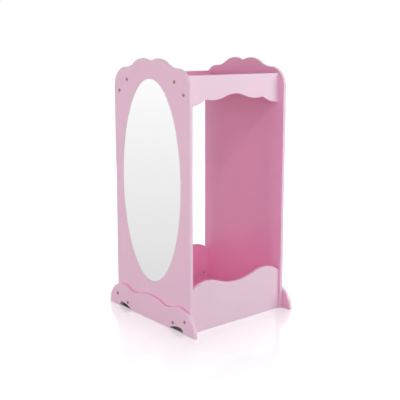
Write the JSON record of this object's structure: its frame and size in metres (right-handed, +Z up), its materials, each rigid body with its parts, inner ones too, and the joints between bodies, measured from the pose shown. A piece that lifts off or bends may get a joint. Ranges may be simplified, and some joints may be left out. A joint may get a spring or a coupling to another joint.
{
  "type": "child's dress-up storage unit",
  "caption": "Open dress-up wardrobe for a child: scalloped sides, hanging rod under wavy valances, shoe bin below and an oval mirror on the left side.",
  "frame": {"origin": "middle of the unit's footprint, on the floor", "axes": "+X across the width to the side without the mirror, +Y to the back, +Z up"},
  "size_m": [0.5544, 0.605, 1.089],
  "materials": {
    "lacquer": "pale pink gloss lacquer on board",
    "mirror": "silvered acrylic with polished edge",
    "pad_foam": "white adhesive foam",
    "beech": "sanded beech",
    "bolt_metal": "brass-coloured plating, slightly dull",
    "zinc": "zinc plating"
  },
  "bodies": {
    "unit": {"left_side_panel": "lacquer", "right_side_panel": "lacquer", "front_valance": "lacquer", "back_valance": "lacquer", "top_shelf": "lacquer", "bottom_shelf": "lacquer", "front_bin_panel": "lacquer", "back_bin_panel": "lacquer", "left_foot_board": "lacquer", "right_foot_board": "lacquer", "oval_mirror": "mirror", "mirror_pads": "pad_foam", "left_upper_bolts": "bolt_metal", "right_upper_bolts": "bolt_metal", "left_lower_bolts": "bolt_metal", "right_lower_bolts": "bolt_metal", "valance_barrel_nuts": "zinc", "top_shelf_barrel_nuts": "zinc", "bottom_shelf_barrel_nuts": "zinc", "bin_barrel_nuts": "zinc", "valance_dowels": "beech", "top_shelf_dowels": "beech", "bottom_shelf_dowels": "beech", "bin_dowels": "beech"},
    "rod": {"hanging_rod": "beech"}
  },
  "joints": [
    {"name": "rod_turn", "type": "hinge", "parent": "unit", "child": "rod", "pos_m": [0, 0, 0.9405], "axis": [1, 0, 0], "continuous": true}
  ]
}
